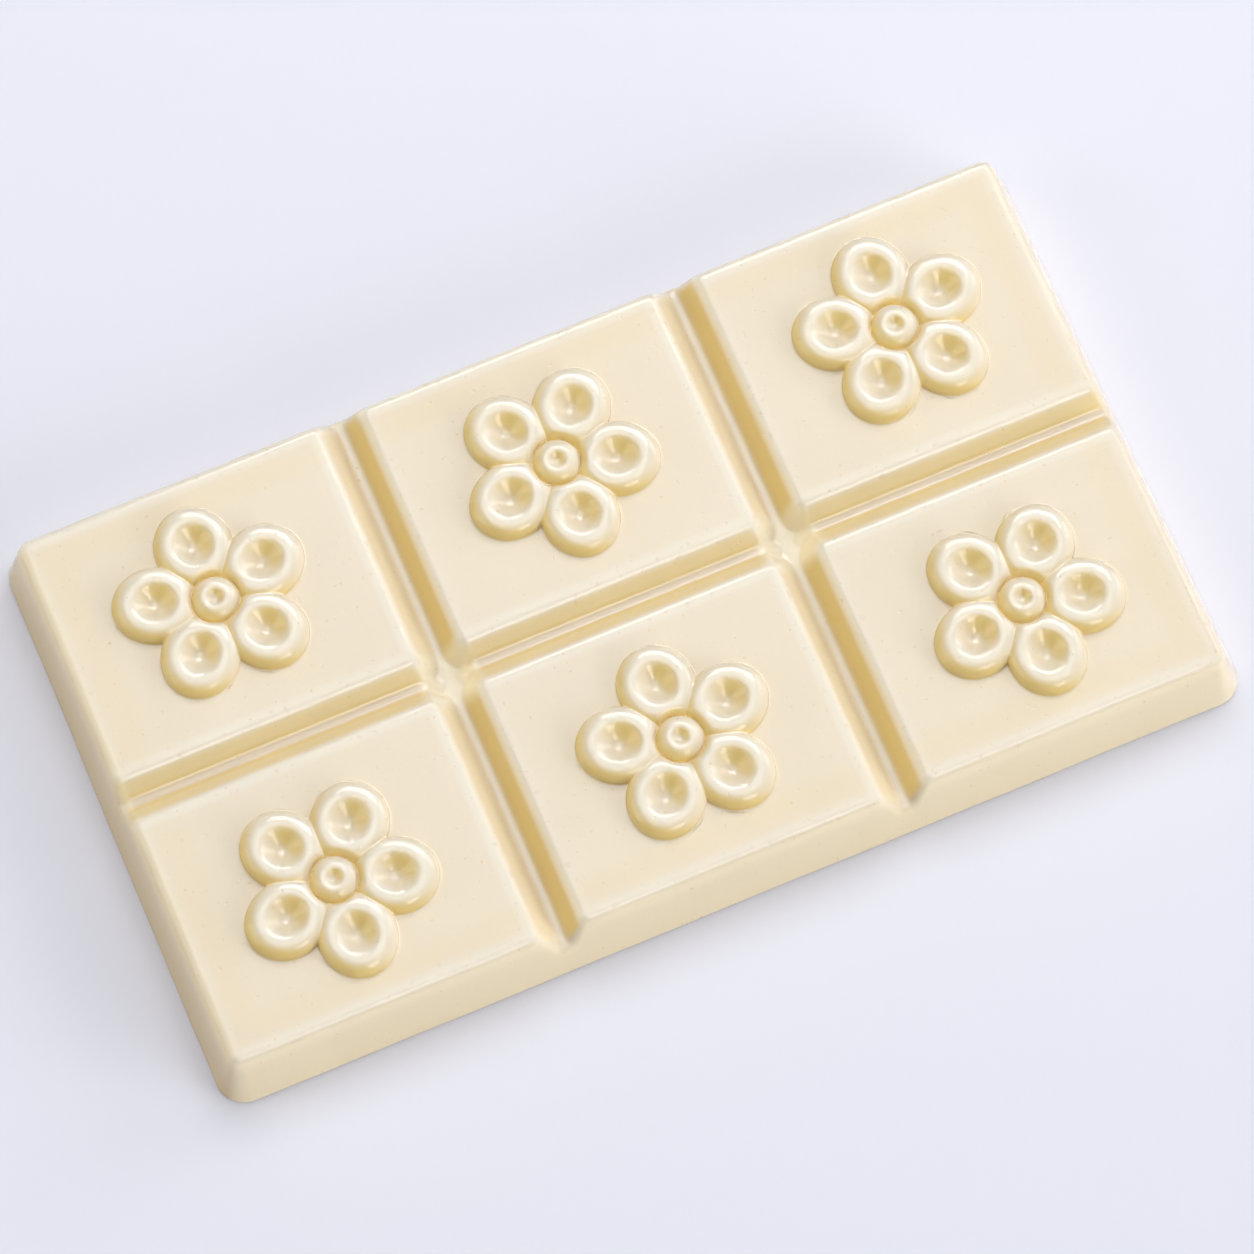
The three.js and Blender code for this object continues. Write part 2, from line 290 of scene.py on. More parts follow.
# Four quarters of a block's rings joined all the way round. The height comes from
# heightOf(block, depthX, depthY, x, y), as each quarter lies between its own two sides.
def joinQuarters(block, grooveOut, wallOut, heightOf):
    parts = []
    for signX, signY in ((1, 1), (-1, 1), (-1, -1), (1, -1)):
        depthX = block["right"] if signX > 0 else block["left"]
        depthY = block["back"] if signY > 0 else block["front"]
        radius = ringRadius(depthX, depthY, grooveOut, wallOut)
        halfX = block["halfX"] + (grooveOut if depthX else wallOut)
        halfY = block["halfY"] + (grooveOut if depthY else wallOut)
        x, y = quarterRings(halfX, halfY, radius)
        x, y = block["x"] + signX * x, block["y"] + signY * y
        quarter = np.stack([x, y, heightOf(block, depthX, depthY, x, y)], axis=2)
        if signX != signY:
            quarter = quarter[:, ::-1]
        parts.append(quarter[:, :-1])
    return np.hstack(parts)


def topHeight(block, depthX, depthY, x, y):
    plateau = body["height"] - grooveDrop(block, depthX, depthY, x, y)
    return wallHeight(insetFromBase(x, y), plateau)


def bottomHeight(block, depthX, depthY, x, y):
    return undersideHeight(insetFromBase(x, y))


# Top of one block: the blossom, the flat round it, the edges and the sides.
def blockTop(block):
    even = np.arange(around) * 2 * math.pi / around
    fold = 2 * blossom["petals"]
    angle = even + blossom["crowding"] * np.sin(fold * even) / fold
    distance, height = blossomRings(angle + block["blossomTurn"])
    flower = np.stack([
        block["x"] + distance * np.cos(angle),
        block["y"] + distance * np.sin(angle),
        body["height"] + height,
    ], axis=2)
    edges = joinQuarters(block, grooveOffsets, wallOffsets, topHeight)
    share = np.array(mesh["flatShares"])[:, None, None]
    flat = flower[-1] * (1 - share) + edges[0] * share
    return np.concatenate([flower, flat, edges])


# Underside of one block, from the rim to the middle. Between blocks the rings step in
# from the groove's middle line as they do from the rim.
def blockUnderside(block):
    grooveOut = groove["halfWidth"] + underOffsets - underOffsets[0]
    rings = joinQuarters(block, grooveOut, underOffsets, bottomHeight)
    middle = np.array([block["x"], block["y"], 0.0])
    share = np.array(mesh["underShares"])[:, None, None]
    return np.concatenate([rings, rings[-1] * (1 - share) + middle * share])


# Six blocks, from the left to the right and from the front to the back.
def layOutBlocks():
    blocks = []
    for column in range(3):
        grooveX = (column - 1) * groove["pitch"]
        reach = groove["pitch"] / 2 - groove["halfWidth"]
        startX = -halfTop[0] if column == 0 else grooveX - reach
        endX = halfTop[0] if column == 2 else grooveX + reach
        for row in range(2):
            startY = groove["halfWidth"] if row else -halfTop[1]
            endY = halfTop[1] if row else -groove["halfWidth"]
            blocks.append({
                "x": (startX + endX) / 2, "y": (startY + endY) / 2,
                "halfX": (endX - startX) / 2, "halfY": (endY - startY) / 2,
                "left": groove["acrossDepth"] if column else 0,
                "right": groove["acrossDepth"] if column < 2 else 0,
                "front": groove["lengthwiseDepth"] if row else 0,
                "back": 0 if row else groove["lengthwiseDepth"],
                "blossomTurn": math.pi / 2 + (math.pi / 5 if (column + row) % 2 else 0),
            })
    return blocks


# Triangles of a grid whose columns close round, each cell cut on its shorter diagonal.
def gridTriangles(points, firstIndex):
    rows, columns = points.shape[:2]
    index = firstIndex + np.arange(rows * columns).reshape(rows, columns)
    inner, outer = index[:-1], index[1:]
    innerNext, outerNext = np.roll(inner, -1, axis=1), np.roll(outer, -1, axis=1)
    near, far = points[:-1], points[1:]
    rising = np.linalg.norm(far - np.roll(near, -1, axis=1), axis=2)
    falling = np.linalg.norm(near - np.roll(far, -1, axis=1), axis=2)
    cut = rising < falling
    halves = (
        ((inner, outer, innerNext), (inner, outer, outerNext)),
        ((outer, outerNext, innerNext), (inner, outerNext, innerNext)),
    )
    triangles = []
    for onRising, onFalling in halves:
        corners = [np.where(cut, a, b) for a, b in zip(onRising, onFalling)]
        triangles.append(np.stack(corners, axis=2).reshape(-1, 3))
    return np.concatenate(triangles)


# Waves of a real bar, in millimetres: up and down on its top, and in and out of its walls.
uneven = {
    "topShort": 0.016, "topLong": 0.022,
    "wallLong": 0.03, "wallShort": 0.018,
    "wallFade": (0.5, 4.0),  # in from the outline of the base
    "cornerFade": 4,         # in from the end of a side
}


# Slight unevenness of a real bar: sums of long waves, none of them on the underside.
# The plain numbers are their lengths over two pi, and where they start.
def settleSurface(points):
    x, y, z = points.T
    high = smooth(0, body["height"], z)
    wave = uneven["topShort"] * np.sin(x / 5.3 + 0.8) * np.cos(y / 4.7 - x / 19 + 0.4)
    wave = wave + uneven["topLong"] * np.sin(x / 13.0 - y / 9.0 + 1.9)
    outward = uneven["wallLong"] * np.sin(x / 7.1 + 2.0) * np.cos(y / 6.3 + 0.5)
    outward = outward + uneven["wallShort"] * np.sin(x / 2.9 + y / 3.3)
    push = outward * (1 - smooth(*uneven["wallFade"], insetFromBase(x, y)))
    moved = []
    for along, half in ((x, halfTop[0]), (y, halfTop[1])):
        atEnd = smooth(half - uneven["cornerFade"], half, np.abs(along))
        moved.append(along + push * np.sign(along) * atEnd)
    return np.stack([*moved, z + wave * high], axis=1)


# Outward normals of the points, each the sum of the normals of its triangles.
def pointNormals(points, triangles):
    a, b, c = (points[corner] for corner in triangles.T)
    across = np.cross(b - a, c - a)
    total = np.zeros_like(points)
    for corner in triangles.T:
        for axis in range(3):
            total[:, axis] += np.bincount(corner, across[:, axis], len(points))
    return total / np.linalg.norm(total, axis=1, keepdims=True)


# A band that rises from 0 to 1 over the first two distances and falls over the last two.
def band(x, rise, full, fall, gone):
    return smooth(rise, full, x) * (1 - smooth(fall, gone, x))


# How the masks tell the parts of the surface apart. Numbers in brackets are the ends of
# a soft step or a band: millimetres, shares of a height or a depth, or tilts.
zone = {
    "wall": (1.75, 2.2),          # in from the outline of the base
    "wallTilt": -0.5,             # a wall's normal points no further down than this
    "wallFacing": (0.5, 0.95),
    "wallTop": (0.62, 1.0),       # of the bar's height
    "leftRim": (-0.3, 0.2, 0.6, 1.1),   # in from the outer top edge at the left
    "under": (0.3, 0.8),          # how far a normal points down
    "relief": (0.02, 0.1),        # over the top of a block
    "depthTurn": (2.2, 3.4),      # from a deep groove's middle to where the shallow one is alone
    "crossing": (1.8, 3.6),       # out from the middle of a crossing
    "crossingSunk": (0.02, 0.2),
    "plainSunk": (0.1, 0.5),      # down from the top of a block to where its edge ends
    "channel": (0.25, 0.55),      # out from the middle line of a groove
    "channelSunk": (0.5, 0.9),
    "edgeBand": (0.5, 0.5, 1.6),  # width of an edge's rise, and where it falls
    "edgeOutside": -0.8,          # how far down the outer wall an edge may reach
}


# Where each point lies, for all points at once: shares from 0 to 1, and distances from
# the middle lines of the nearest deep groove (across) and of the shallow one (along).
def surfacePlaces(points, normals):
    at = SimpleNamespace()
    at.x, at.y, at.z = points.T
    at.nx, at.ny, at.nz = normals.T
    inset = insetFromBase(at.x, at.y)
    at.fromEdge = inset - body["wallRun"]
    at.across = np.abs(np.abs(at.x) - groove["pitch"] / 2)
    at.along = np.abs(at.y)
    at.inAcross = at.across < groove["halfWidth"] + groove["topBlend"]
    # left of a deep groove's middle line, where its edge and side face right
    at.facesRight = at.x < np.sign(at.x) * groove["pitch"] / 2
    shallow = smooth(*zone["depthTurn"], at.across)
    depth = groove["acrossDepth"] + (groove["lengthwiseDepth"] - groove["acrossDepth"]) * shallow
    at.sunk = np.clip((body["height"] - at.z) / depth, 0, 1)
    at.steep = np.sqrt(np.clip(1 - at.nz ** 2, 0, 1))

    at.under = smooth(*zone["under"], -at.nz)
    at.wall = (1 - smooth(*zone["wall"], inset)) * (at.nz > zone["wallTilt"])
    at.inside = (1 - at.wall) * (1 - at.under)
    at.leftWall, at.frontWall = (
        at.wall * smooth(*zone["wallFacing"], -n) for n in (at.nx, at.ny)
    )
    at.wallTop = smooth(*zone["wallTop"], at.z / body["height"])
    nearLeft = (at.x < 0) * (halfTop[0] + at.x < halfTop[1] - np.abs(at.y))
    at.leftRim = band(at.fromEdge, *zone["leftRim"]) * nearLeft * (1 - at.under)

    at.relief = smooth(*zone["relief"], at.z - body["height"])
    crossing = 1 - smooth(*zone["crossing"], np.maximum(at.across, at.along))
    at.crossing = crossing * smooth(*zone["crossingSunk"], at.sunk) * (1 - at.under)
    atFloor = smooth(*zone["channelSunk"], at.sunk) * at.inside
    fromMiddle = np.where(at.inAcross, at.across, at.along)
    at.channel = (1 - smooth(*zone["channel"], fromMiddle)) * atFloor
    at.inLengthwise = atFloor * ~at.inAcross
    return at


# Painted shade: sides that face away from the light turn golden, as light that went deeper through the
# chocolate would; so do the left and front walls, a band inside the outer edges and the shallow
# groove's foot.
paintedShadeShare = {
    "even": 0.66, "left": 0.60, "front": 0.13,  # of a groove's side, by the way it faces
    "steep": (0.02, 0.32),   # from flat to a full side, as one minus the normal's height
    "low": (0.0, 0.37),      # how far down a groove's side the gold comes in
    "foot": (0.75, 1.0), "footLess": 0.35,      # and how it fades again to the foot
    "blossom": 0.04,         # all over a blossom
    "blossomSide": {"steep": 0.55, "left": 0.90, "front": 0.44},
    "rim": 0.16, "rimBand": (0.9, 2.2, 3.0, 5.0), "rimSunk": 0.05,  # just inside the outer edges
    "leftWall": 0.43, "leftWallTop": 0.28, "leftRim": 0.15, "frontWall": 0.36,
    "channel": 0.38, "channelBand": (0.2, 0.5, 0.7, 1.0),  # along the shallow groove's foot
}


# The painted shade mask: golden on sides that face left or the front, down the grooves, on the
# blossoms' sides, on the walls and rims, and along the shallow groove's foot.
def paintedShadeMask(at):
    shadeGold, lean = paintedShadeShare, paintedShadeShare["blossomSide"]
    turned = np.clip(shadeGold["even"] - shadeGold["left"] * at.nx - shadeGold["front"] * at.ny, 0, 1)
    side = smooth(*shadeGold["steep"], 1 - at.nz)
    low = smooth(*shadeGold["low"], at.sunk) * (1 - shadeGold["footLess"] * smooth(*shadeGold["foot"], at.sunk))
    leaning = lean["steep"] * at.steep - lean["left"] * at.nx - lean["front"] * at.ny
    blossomSide = at.relief * smooth(0, 1, leaning)
    paintedShade = np.maximum(blossomSide, turned * side * low * (1 - at.relief)) * at.inside
    paintedShade = paintedShade + shadeGold["blossom"] * at.relief
    rim = band(at.fromEdge, *shadeGold["rimBand"]) * (1 - at.relief) * (at.sunk < shadeGold["rimSunk"])
    leftWall = (shadeGold["leftWall"] + shadeGold["leftWallTop"] * at.wallTop) * at.leftWall
    leftRim = shadeGold["leftRim"] * at.leftRim * (1 - at.wall)
    walls = leftWall + shadeGold["frontWall"] * at.frontWall + leftRim
    paintedShade = np.clip(paintedShade + shadeGold["rim"] * rim + walls, 0, 1)
    return paintedShade + shadeGold["channel"] * band(at.along, *shadeGold["channelBand"]) * at.inLengthwise


# Painted highlights along the edges, stronger on those that face the light. For each edge, by the way
# it faces: how strong that is, and how far from the edge it starts, inwards above 0.
paintedEdgeHighlight = {
    "deepRight": (0.44, -0.5), "deepLeft": (0.20, -0.2),
    "shallowFront": (0.36, -0.85), "shallowBack": (0.40, -0.4),
    "outerRight": (0.25, -0.75), "outerLeft": (0.20, 0.45),
    "outerBack": (0.48, -0.75), "outerFront": (0.32, -0.75),
}
# Painted highlights on the channels across the bar, on the blossoms' crests and their sides toward the
# light, and on the sides at a crossing.
paintedHighlightShare = {
    "channel": 0.3,          # of the channels that run along Y
    "crest": 0.42, "crestRise": (0.75, 1.4), "crestTilt": (0.1, 0.55),  # of a blossom
    "litX": 0.9, "litY": 0.43, "litTilt": 0.6, "litMore": 0.9,  # the crest's sides to the light
    "crossing": 0.45, "crossingTurn": 1.3,      # of the sides that face right
}


# The mask of the edges themselves, and that of all the painted highlights.
def edgeAndPaintedHighlightMasks(at):
    edge, paintedHighlight = np.zeros_like(at.x), np.zeros_like(at.x)
    rise, fall, gone = zone["edgeBand"]
    for off, faces, oneSide, otherSide in (
        (at.across - groove["halfWidth"], at.facesRight, "deepRight", "deepLeft"),
        (at.along - groove["halfWidth"], at.y > 0, "shallowFront", "shallowBack"),
        (halfTop[0] - np.abs(at.x), at.x > 0, "outerRight", "outerLeft"),
        (halfTop[1] - np.abs(at.y), at.y > 0, "outerBack", "outerFront"),
    ):
        pairs = zip(paintedEdgeHighlight[oneSide], paintedEdgeHighlight[otherSide])
        strength, start = (np.where(faces, one, other) for one, other in pairs)
        here = band(off, start, start + rise, fall, gone) * (at.fromEdge > zone["edgeOutside"])
        edge = np.maximum(edge, here)
        paintedHighlight = np.maximum(paintedHighlight, here * strength)
    plain = (1 - smooth(*zone["plainSunk"], at.sunk)) * (1 - at.relief) * (1 - at.under)

    facing = np.clip(paintedHighlightShare["litX"] * at.nx + paintedHighlightShare["litY"] * at.ny, -1, 1)
    tilt = at.steep - paintedHighlightShare["litTilt"] * np.maximum(facing, 0)
    crest = smooth(*paintedHighlightShare["crestRise"], at.z - body["height"])
    crest = crest * (1 - smooth(*paintedHighlightShare["crestTilt"], tilt)) * (1 + paintedHighlightShare["litMore"] * facing)
    toRight = np.clip(0.5 + paintedHighlightShare["crossingTurn"] * at.nx, 0, 1)
    paintedHighlight = paintedHighlight * plain + paintedHighlightShare["channel"] * at.channel * at.inAcross
    paintedHighlight = paintedHighlight + paintedHighlightShare["crest"] * crest + paintedHighlightShare["crossing"] * at.crossing * toRight
    return edge * plain, np.clip(paintedHighlight, 0, 1)


# Painted light: a warm brightening on the deep grooves' edges that face left, on the grooves' sides
# that face right or the front, at the crossings, on the front wall and along the tops of the walls, as
# if light came out again after a short way through the chocolate.
paintedLightShare = {
    "edge": 0.45, "edgeBand": (-0.6, -0.25, -0.1, 0.4),  # deep grooves, edges that face left
    "right": 0.25, "rightTilt": (0.3, 0.8),     # grooves, sides that face right
    "front": 0.18, "frontTilt": (0.3, 0.6),     # grooves, sides that face the front
    "sideSunk": (0.1, 0.4),
    "crossing": 0.2, "crossingLeft": 0.5, "crossingTurn": 1.3,
    "frontWall": 0.34, "wallTop": 0.30,
}


# The painted light mask, a warm brightening on the places listed above.
def paintedLightMask(at):
    paintedLight = band(at.across - groove["halfWidth"], *paintedLightShare["edgeBand"]) * ~at.facesRight
    right = paintedLightShare["right"] * smooth(*paintedLightShare["rightTilt"], at.nx)
    front = paintedLightShare["front"] * smooth(*paintedLightShare["frontTilt"], -at.ny)
    sides = (right + front) * smooth(*paintedLightShare["sideSunk"], at.sunk) * (1 - at.relief)
    toLeft = np.clip(0.5 - paintedLightShare["crossingTurn"] * at.nx, 0, 1)
    crossing = at.crossing * (paintedLightShare["crossing"] + paintedLightShare["crossingLeft"] * toLeft)
    paintedLight = np.maximum(paintedLightShare["edge"] * paintedLight + sides, crossing) * at.inside
    paintedLight = paintedLight + (paintedLightShare["frontWall"] + paintedLightShare["wallTop"] * at.wallTop) * at.frontWall
    leftTop = at.wallTop * at.leftWall + at.leftRim * (1 - at.leftWall)
    return paintedLight + paintedLightShare["wallTop"] * leftTop


# Painted shade: walls darker towards the base, the left wall most, and the shallow groove darker along
# its middle.
footShadeShare = {"leftWall": 1.0, "frontWall": 0.05, "channel": 0.33, "channelWidth": (0.45, 0.8)}


# The painted shade mask towards the base of the walls and in the shallow groove.
def footShadeMask(at):
    foot = footShadeShare["leftWall"] * at.leftWall + footShadeShare["frontWall"] * at.frontWall
    foot = foot * (1 - np.clip(at.z / body["height"], 0, 1) ** 2)
    middle = 1 - smooth(*footShadeShare["channelWidth"], at.along)
    return foot + footShadeShare["channel"] * middle * at.inLengthwise


# Masks of the material, one number for each point, and for the tool lines the place
# across and along the channel in metres.
def shadeMasks(points, normals):
    at = surfacePlaces(points, normals)
    edge, paintedHighlight = edgeAndPaintedHighlightMasks(at)
    # Four of these masks paint shade, highlights, light and shade towards the base into the colour.
    return {
        "wall": at.wall, "under": at.under, "paintedShade": paintedShadeMask(at), "paintedHighlight": paintedHighlight,
        "edge": edge, "paintedLight": paintedLightMask(at), "foot": footShadeMask(at), "channel": at.channel,
        "channelAcross": np.where(at.inAcross, at.x, at.y) * mm,
        "channelAlong": np.where(at.inAcross, at.y, at.x) * mm,
    }


def makeBar():
    grids = []
    for block in layOutBlocks():
        grids += [blockTop(block), blockUnderside(block)]
    triangles, count = [], 0
    for grid in grids:
        triangles.append(gridTriangles(grid, count))
        count += grid.shape[0] * grid.shape[1]
    points = np.concatenate([g.reshape(-1, 3) for g in grids])
    triangles = np.concatenate(triangles)
    cells = np.round(points / mesh["weld"]).astype(np.int64)
    _, kept, joined = np.unique(cells, axis=0, return_index=True, return_inverse=True)
    points, triangles = points[kept], joined.ravel()[triangles]
    a, b, c = triangles.T
    triangles = triangles[(a != b) & (b != c) & (c != a)]
    masks = shadeMasks(points, pointNormals(points, triangles))
    settled = settleSurface(points) * mm
    data = bpy.data.meshes.new("white_chocolate_bar")
    data.from_pydata(settled.tolist(), [], triangles.tolist())
    data.validate()
    data.polygons.foreach_set("use_smooth", np.ones(len(data.polygons), dtype=bool))
    for name, values in masks.items():
        layer = data.attributes.new(name, "FLOAT", "POINT")
        layer.data.foreach_set("value", np.asarray(values, dtype=np.float32))
    data.update()
    bar = bpy.data.objects.new("white_chocolate_bar", data)
    scene.collection.objects.link(bar)
    print("bar:", len(points), "points,", len(triangles), "triangles")
    return bar


chocolate = {
    "cream": (0.807, 0.706, 0.55),
    "deepCream": (0.797, 0.686, 0.505),
    # The next four colours are painted: shade towards the foot of the walls, shade on the sides away
    # from the light, highlights and light.
    "footShade": (0.50, 0.355, 0.215),
    "shadeGold": (0.80, 0.60, 0.225),
    "paintedHighlight": (0.875, 0.84, 0.745),
    "paintedLight": (1.0, 0.89, 0.64),
    "fleck": (0.72, 0.50, 0.24),
    "tan": (0.52, 0.34, 0.16),
    "fleckStrength": 0.45,
    "nickStrength": 0.14,
    "refraction": 1.46,
    "inner": {"roughness": 0.4, "specular": 0.1},  # under the glossy coat
    "gloss": (0.06, 0.10),   # least and most roughness of the top
    "wallGloss": 0.10,       # roughness added on the walls
    "underGloss": 0.25,      # and on the underside
    "softness": 0.0004,      # how far light travels under the surface, in metres
    "softnessTint": (0.8, 0.72, 0.55),
}
# Scales of the surface's patterns, as waves to a metre. For small spots the second number
# is how high a peak of the noise has to be to show.
pattern = {
    "mottle": 85, "mottleSpan": (0.25, 0.8),  # noise that counts as none and as full
    "gloss": 260, "glossSpan": (0.2, 0.8),
    "flecks": (2300, 0.80), "nicks": (1300, 0.72), "pits": (1900, 0.81),
    "spotEdge": 0.05,        # softness of a small spot's edge
    "waves": 230, "fine": 2200, "ripple": 120,
    "scuffs": (45, 45, 1500),                 # flat streaks round the walls
    "toolLines": {"X": ("channelAcross", 5500.0), "Y": ("channelAlong", 45.0)},
}
# Heights of the finest relief: that of the waves, and the others as shares of it.
bumps = {
    "waves": 0.00004,        # in metres
    "fine": 0.05, "scuffs": 0.16, "toolLines": 0.45, "pits": -0.6, "nicks": -0.2, "ripple": 2.2,
}


# One node of a material. Its sockets are set by name from a dictionary.
def addNode(tree, kind, place, sockets=None, **values):
    node = tree.nodes.new(kind)
    node.location = place
    for name, value in values.items():
        setattr(node, name, value)
    for name, value in (sockets or {}).items():
        node.inputs[name].default_value = value
    return node


def addMask(tree, name, place):
    return addNode(tree, "ShaderNodeAttribute", place, attribute_name=name).outputs["Fac"]


def addMath(tree, operation, place, first, second):
    node = addNode(tree, "ShaderNodeMath", place, operation=operation)
    for socket, value in zip(node.inputs, (first, second)):
        if isinstance(value, (int, float)):
            socket.default_value = value
        else:
            tree.links.new(value, socket)
    return node.outputs["Value"]


# A value brought from one range to another, and held at its ends.
def addRange(tree, place, value, fromMin, fromMax, toMin=0.0, toMax=1.0):
    node = addNode(tree, "ShaderNodeMapRange", place, {
        "From Min": fromMin, "From Max": fromMax, "To Min": toMin, "To Max": toMax,
    })
    tree.links.new(value, node.inputs["Value"])
    return node.outputs["Result"]


# A colour laid over another by a mask.
def addTint(tree, place, mask, under, over):
    node = addNode(tree, "ShaderNodeMix", place, data_type="RGBA")
    tree.links.new(mask, node.inputs["Factor"])
    for socket, value in ((node.inputs[6], under), (node.inputs[7], over)):
        if isinstance(value, tuple):
            socket.default_value = (*value, 1)
        else:
            tree.links.new(value, socket)
    return node.outputs[2]


def addNoise(tree, place, vector, scale, detail=2.0, roughness=0.5):
    node = addNode(tree, "ShaderNodeTexNoise", place, {
        "Scale": scale, "Detail": detail, "Roughness": roughness,
    })
    tree.links.new(vector, node.inputs["Vector"])
    return node.outputs["Fac"]


# Small spots: the highest peaks of a noise. A higher level leaves fewer of them.
def addSpots(tree, place, vector, scale, level):
    peaks = addNoise(tree, place, vector, scale, 0)
    return addRange(tree, (place[0] + 200, place[1]), peaks, level, level + pattern["spotEdge"])


# Colour: cream with a faint mottle, painted shade, painted highlights and painted light from the masks,
# tan flecks and nicked edges.
def addColour(tree, place, nicks):
    mottle = addNoise(tree, (-2300, 600), place, pattern["mottle"], 2)
    mottle = addRange(tree, (-2000, 600), mottle, *pattern["mottleSpan"])
    colour = addTint(tree, (-1700, 600), mottle, chocolate["cream"], chocolate["deepCream"])
    # Tints in turn: painted shade towards the base, painted shade away from the light, painted
    # highlights, painted light.
    layers = (("foot", "footShade"), ("paintedShade", "shadeGold"), ("paintedHighlight", "paintedHighlight"), ("paintedLight", "paintedLight"))
    for step, (name, tint) in enumerate(layers):
        mask = addMask(tree, name, (-1700 + 200 * step, 400))
        colour = addTint(tree, (-1500 + 200 * step, 600), mask, colour, chocolate[tint])
    flecks = addSpots(tree, (-2300, 250), place, *pattern["flecks"])
    flecks = addMath(tree, "MULTIPLY", (-1500, 250), flecks, chocolate["fleckStrength"])
    colour = addTint(tree, (-700, 600), flecks, colour, chocolate["fleck"])
    nickTint = addMath(tree, "MULTIPLY", (-1600, -550), nicks, chocolate["nickStrength"])
    return addTint(tree, (-500, 600), nickTint, colour, chocolate["tan"])


# Gloss of the coat: a little uneven, and duller on the walls and the underside.
def addGloss(tree, place, wall, under):
    gloss = addNoise(tree, (-2300, 50), place, pattern["gloss"], 1)
    rough = addRange(tree, (-2000, 50), gloss, *pattern["glossSpan"], *chocolate["gloss"])
    duller = addMath(tree, "MULTIPLY", (-1800, -50), wall, chocolate["wallGloss"])
    rough = addMath(tree, "ADD", (-1600, 50), rough, duller)
    duller = addMath(tree, "MULTIPLY", (-1500, -50), under, chocolate["underGloss"])
    return addMath(tree, "ADD", (-1300, 50), rough, duller)


# Finest relief: waves and grain, scuffs along the walls, tool lines in the channels,
# pinpricks, nicks and the poured underside's ripple, added up.
def addBump(tree, place, wall, under, nicks):
    link = tree.links.new
    stretched = addNode(tree, "ShaderNodeMapping", (-2500, -1150), {"Scale": pattern["scuffs"]})
    link(place, stretched.inputs["Vector"])
    scuffs = addNoise(tree, (-2300, -1150), stretched.outputs["Vector"], 1, 2)
    scuffs = addMath(tree, "MULTIPLY", (-1900, -1150), scuffs, wall)
    lines = addNode(tree, "ShaderNodeCombineXYZ", (-2500, -1400))
    for step, (socket, (name, scale)) in enumerate(pattern["toolLines"].items()):
        level = -1350 - 150 * step
        along = addMath(tree, "MULTIPLY", (-2700, level), addMask(tree, name, (-2900, level)), scale)
        link(along, lines.inputs[socket])
    toolLines = addNoise(tree, (-2300, -1400), lines.outputs["Vector"], 1, 1)
    channel = addMask(tree, "channel", (-2100, -1500))
    toolLines = addMath(tree, "MULTIPLY", (-1900, -1400), toolLines, channel)
    ripple = addNoise(tree, (-2300, -1800), place, pattern["ripple"], 1)
    ripple = addMath(tree, "MULTIPLY", (-1900, -1800), ripple, under)
    parts = {
        "fine": addNoise(tree, (-2300, -950), place, pattern["fine"], 0),
        "scuffs": scuffs,
        "toolLines": toolLines,
        "pits": addSpots(tree, (-2300, -1600), place, *pattern["pits"]),
        "nicks": nicks,
        "ripple": ripple,
    }
    height = addNoise(tree, (-2300, -800), place, pattern["waves"], 1)
    for step, (name, part) in enumerate(parts.items()):
        part = addMath(tree, "MULTIPLY", (-1300 + 150 * step, -1100), part, bumps[name])
        height = addMath(tree, "ADD", (-1100 + 150 * step, -900), height, part)
    bump = addNode(tree, "ShaderNodeBump", (-150, -700), {"Strength": 1.0, "Distance": bumps["waves"]})
    link(height, bump.inputs["Height"])
    return bump.outputs["Normal"]


# White chocolate: a soft cream body, which light enters a little way, under a glossy coat.
def makeWhiteChocolate():
    material = bpy.data.materials.new("white_chocolate")
    material.use_nodes = True
    tree = material.node_tree
    shader = tree.nodes["Principled BSDF"]
    shader.subsurface_method = "BURLEY"
    for name, value in {
        "Subsurface Weight": 1.0,
        "Subsurface Radius": chocolate["softnessTint"],
        "Subsurface Scale": chocolate["softness"],
        "IOR": chocolate["refraction"],
        "Roughness": chocolate["inner"]["roughness"],
        "Specular IOR Level": chocolate["inner"]["specular"],
        "Coat Weight": 1.0,
        "Coat IOR": chocolate["refraction"],
    }.items():
        shader.inputs[name].default_value = value
    place = addNode(tree, "ShaderNodeTexCoord", (-2600, 0)).outputs["Object"]
    wall = addMask(tree, "wall", (-2600, -300))
    under = addMask(tree, "under", (-2600, -450))
    edge = addMask(tree, "edge", (-2600, -600))
    nicks = addSpots(tree, (-2300, -550), place, *pattern["nicks"])
    nicks = addMath(tree, "MULTIPLY", (-1800, -550), nicks, edge)
    link = tree.links.new
    link(addColour(tree, place, nicks), shader.inputs["Base Color"])
    link(addGloss(tree, place, wall, under), shader.inputs["Coat Roughness"])
    link(addBump(tree, place, wall, under, nicks), shader.inputs["Normal"])
    print("finish made:", material.name)
    return material


bar = makeBar()
bar.data.materials.append(makeWhiteChocolate())
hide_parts("chocolate_bar")
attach(bar, "root")

floor = {"size": 3.0, "drop": 0.00005, "colour": (0.835, 0.845, 0.94), "roughness": 0.9}


def makeFloor():
    half, low = floor["size"] / 2, -floor["drop"]
    corners = [(-half, -half, low), (half, -half, low), (half, half, low), (-half, half, low)]
    data = bpy.data.meshes.new("floor")
    data.from_pydata(corners, [], [(0, 1, 2, 3)])
    plane = bpy.data.objects.new("floor", data)
    scene.collection.objects.link(plane)
    material = bpy.data.materials.new("pale_floor")
    material.use_nodes = True
    shader = material.node_tree.nodes["Principled BSDF"]
    shader.inputs["Base Color"].default_value = (*floor["colour"], 1)
    shader.inputs["Roughness"].default_value = floor["roughness"]
    shader.inputs["Specular IOR Level"].default_value = 0.0
    data.materials.append(material)
    print("floor made")


makeFloor()

